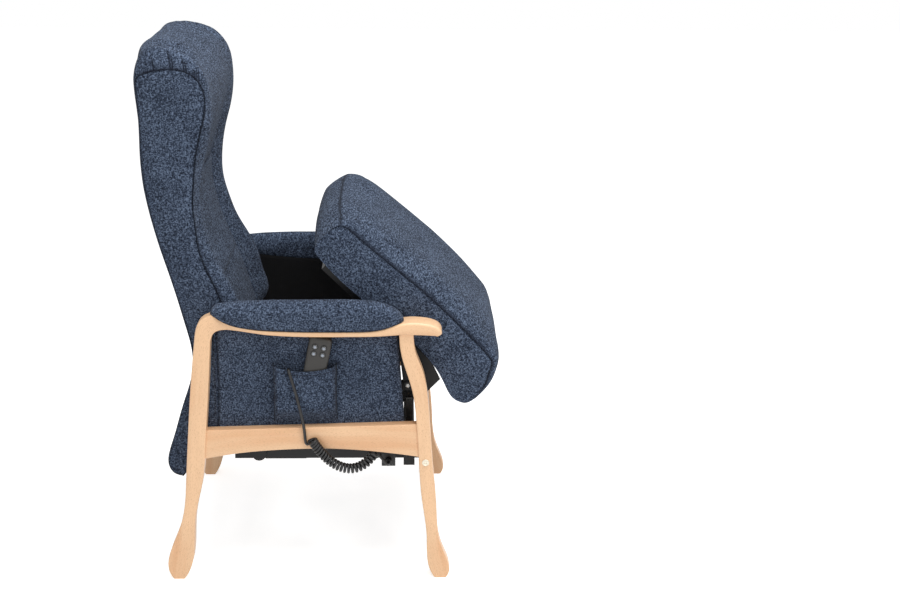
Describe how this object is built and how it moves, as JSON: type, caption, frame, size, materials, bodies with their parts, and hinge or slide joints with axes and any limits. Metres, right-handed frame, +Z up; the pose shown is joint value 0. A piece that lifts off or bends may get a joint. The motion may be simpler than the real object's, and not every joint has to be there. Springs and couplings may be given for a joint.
{
  "type": "lift chair",
  "caption": "Upholstered high-back chair on a bentwood arm frame, with a seat that lifts and tips forward, a reclining back and a handset in a side pocket.",
  "frame": {"origin": "centre of the object's bounding box, on the floor, cord left out", "axes": "+X to the chair's front, +Y to the sitter's left, +Z up"},
  "size_m": [0.7478, 0.6261, 1.1472],
  "materials": {
    "beech": "clear satin lacquer",
    "black_lining": "black lining cloth",
    "black_rubber": "satin",
    "black_steel": "black powder coat",
    "board": "black stained board",
    "bolt_metal": "satin",
    "button_plastic": "gloss",
    "dark_plastic": "fine texture",
    "rod_steel": "polished",
    "woven_fabric": "blue grey melange weave",
    "zinc": "zinc plated"
  },
  "bodies": {
    "arm_frame": {"base_frame": "black_steel", "cord_coil": "black_rubber", "cord_drop": "black_rubber", "cord_plug": "black_rubber", "cord_socket": "dark_plastic", "cord_tail": "black_rubber", "front_cross_rail": "beech", "handset_body": "dark_plastic", "handset_relief": "black_rubber", "left_arm_pad": "woven_fabric", "left_front_leg": "beech", "left_leg_bolt": "bolt_metal", "left_panel_lining": "black_lining", "left_post_cap": "black_rubber", "left_rear_leg_arm": "beech", "left_rest_post": "black_steel", "left_side_panel": "woven_fabric", "left_side_rail": "beech", "pocket": "woven_fabric", "power_box": "dark_plastic", "rear_cross_rail": "beech", "right_arm_pad": "woven_fabric", "right_front_leg": "beech", "right_leg_bolt": "bolt_metal", "right_panel_lining": "black_lining", "right_post_cap": "black_rubber", "right_rear_leg_arm": "beech", "right_rest_post": "black_steel", "right_side_panel": "woven_fabric", "right_side_rail": "beech"},
    "lift_arms": {"lift_arms": "black_steel"},
    "seat": {"seat_cushion": "woven_fabric", "seat_board": "board", "seat_frame": "black_steel", "right_pivot_bolt": "zinc", "left_pivot_bolt": "zinc"},
    "tilt_links": {"right_tilt_link": "black_steel", "left_tilt_link": "black_steel"},
    "lift_actuator_body": {"lift_actuator_body": "dark_plastic"},
    "lift_actuator_rod": {"lift_actuator_rod": "rod_steel"},
    "back": {"back_body": "woven_fabric", "back_centre_pad": "woven_fabric", "back_frame": "black_steel", "back_trim": "black_lining"},
    "back_actuator_body": {"back_actuator_body": "dark_plastic"},
    "back_actuator_rod": {"back_actuator_rod": "rod_steel"},
    "button_raise": {"button_raise": "button_plastic"},
    "button_lower": {"button_lower": "button_plastic"},
    "button_recline": {"button_recline": "button_plastic"},
    "button_upright": {"button_upright": "button_plastic"}
  },
  "joints": [
    {"name": "lift_swing", "type": "hinge", "parent": "arm_frame", "child": "lift_arms", "pos_m": [-0.15, 0, 0.288], "axis": [0, 1, 0], "range_deg": [0, 16.7]},
    {"name": "seat_tip", "type": "hinge", "parent": "lift_arms", "child": "seat", "pos_m": [0.175, 0, 0.418], "axis": [0, 1, 0], "range_deg": [-61.26, 0]},
    {"name": "tilt_link_swing", "type": "hinge", "parent": "arm_frame", "child": "tilt_links", "pos_m": [0.1023, 0, 0.345], "axis": [0, 1, 0], "range_deg": [0, 35.36]},
    {"name": "lift_actuator_swing", "type": "hinge", "parent": "arm_frame", "child": "lift_actuator_body", "pos_m": [0.0528, -0.06, 0.245], "axis": [0, 1, 0], "range_deg": [-0.54538, 0]},
    {"name": "lift_rod_slide", "type": "slide", "parent": "lift_actuator_body", "child": "lift_actuator_rod", "axis": [-0.6784, 0, 0.7347], "range_m": [-0.035, 0]},
    {"name": "back_recline", "type": "hinge", "parent": "arm_frame", "child": "back", "pos_m": [-0.223, 0, 0.435], "axis": [0, -1, 0], "range_deg": [0, 20]},
    {"name": "back_actuator_swing", "type": "hinge", "parent": "arm_frame", "child": "back_actuator_body", "pos_m": [0.051, 0.07, 0.258], "axis": [0, 1, 0], "range_deg": [0, 0.74918]},
    {"name": "back_rod_slide", "type": "slide", "parent": "back_actuator_body", "child": "back_actuator_rod", "axis": [-0.9455, 0, 0.3256], "range_m": [-0.02689, 0]},
    {"name": "button_raise_press", "type": "slide", "parent": "arm_frame", "child": "button_raise", "axis": [0, 1, 0], "range_m": [0, 0.0008], "stiffness_N_per_m": 600},
    {"name": "button_lower_press", "type": "slide", "parent": "arm_frame", "child": "button_lower", "axis": [0, 1, 0], "range_m": [0, 0.0008], "stiffness_N_per_m": 600},
    {"name": "button_recline_press", "type": "slide", "parent": "arm_frame", "child": "button_recline", "axis": [0, 1, 0], "range_m": [0, 0.0008], "stiffness_N_per_m": 600},
    {"name": "button_upright_press", "type": "slide", "parent": "arm_frame", "child": "button_upright", "axis": [0, 1, 0], "range_m": [0, 0.0008], "stiffness_N_per_m": 600}
  ],
  "couplings": [
    {"joint": "seat_tip", "follows": "lift_swing", "ratio": -3.6647},
    {"joint": "tilt_link_swing", "follows": "lift_swing", "ratio": 2.1155},
    {"joint": "lift_actuator_swing", "follows": "lift_swing", "ratio": -0.032334},
    {"joint": "lift_rod_slide", "follows": "lift_swing", "m_per_rad": -0.11996},
    {"joint": "back_actuator_swing", "follows": "back_recline", "ratio": 0.037088},
    {"joint": "back_rod_slide", "follows": "back_recline", "m_per_rad": -0.076959}
  ]
}
